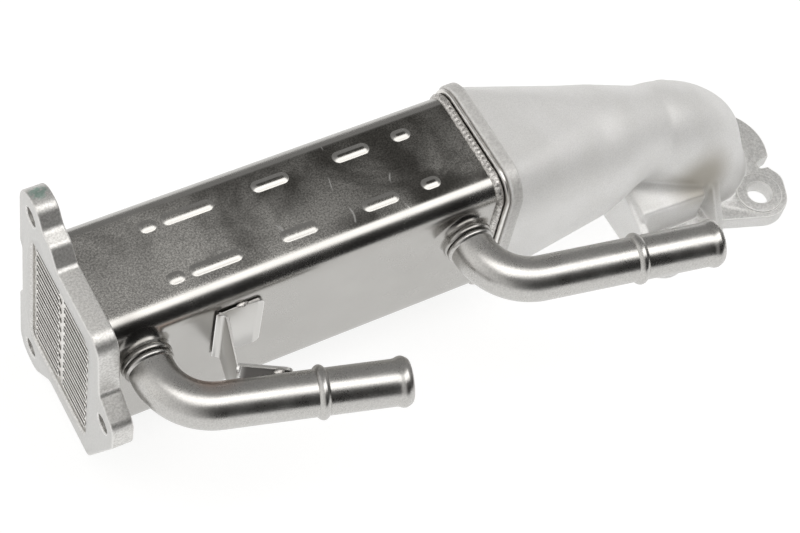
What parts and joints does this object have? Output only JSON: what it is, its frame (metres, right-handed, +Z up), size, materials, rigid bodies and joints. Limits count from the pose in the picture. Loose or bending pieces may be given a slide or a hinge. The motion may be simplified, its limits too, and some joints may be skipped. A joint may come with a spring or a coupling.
{
  "type": "egr cooler",
  "caption": "Water-jacketed exhaust gas cooler: flanged box-shaped shell with flat gas tubes, two bent coolant pipes and a cast outlet elbow.",
  "frame": {"origin": "on the gasket face of the inlet flange, in the middle of the land above the gas window, 40.5 mm over the window's centre", "axes": "+X along the body from the inlet flange to the outlet elbow, -Y towards the side with the coolant pipes, +Z up with the outlet gasket face down"},
  "size_m": [0.3575, 0.1378, 0.1198],
  "materials": {
    "flange_steel": "satin machined steel with a fine grain",
    "cast_steel": "satin cast stainless steel, machined on the outlet flange",
    "shell_steel": "rolled stainless sheet, mottled from heat",
    "bracket_steel": "plain rolled sheet",
    "pipe_steel": "smooth drawn stainless tube",
    "tube_steel": "brazed thin stainless",
    "weld_metal": "rough weld bead"
  },
  "bodies": {
    "root": {"coolant_inlet_pipe": "pipe_steel", "coolant_outlet_pipe": "pipe_steel", "gas_tube_01": "tube_steel", "gas_tube_02": "tube_steel", "gas_tube_03": "tube_steel", "gas_tube_04": "tube_steel", "gas_tube_05": "tube_steel", "gas_tube_06": "tube_steel", "gas_tube_07": "tube_steel", "gas_tube_08": "tube_steel", "gas_tube_09": "tube_steel", "gas_tube_10": "tube_steel", "gas_tube_11": "tube_steel", "gas_tube_12": "tube_steel", "gas_tube_13": "tube_steel", "gas_tube_14": "tube_steel", "gas_tube_15": "tube_steel", "gas_tube_16": "tube_steel", "gas_tube_17": "tube_steel", "gas_tube_18": "tube_steel", "gas_tube_19": "tube_steel", "gas_tube_20": "tube_steel", "inlet_flange": "flange_steel", "inlet_header_plate": "tube_steel", "outlet_casting": "cast_steel", "outlet_header_plate": "tube_steel", "outlet_weld_bead": "weld_metal", "shell": "shell_steel", "support_bracket": "bracket_steel", "tube_support_1": "tube_steel", "tube_support_2": "tube_steel"}
  },
  "joints": []
}
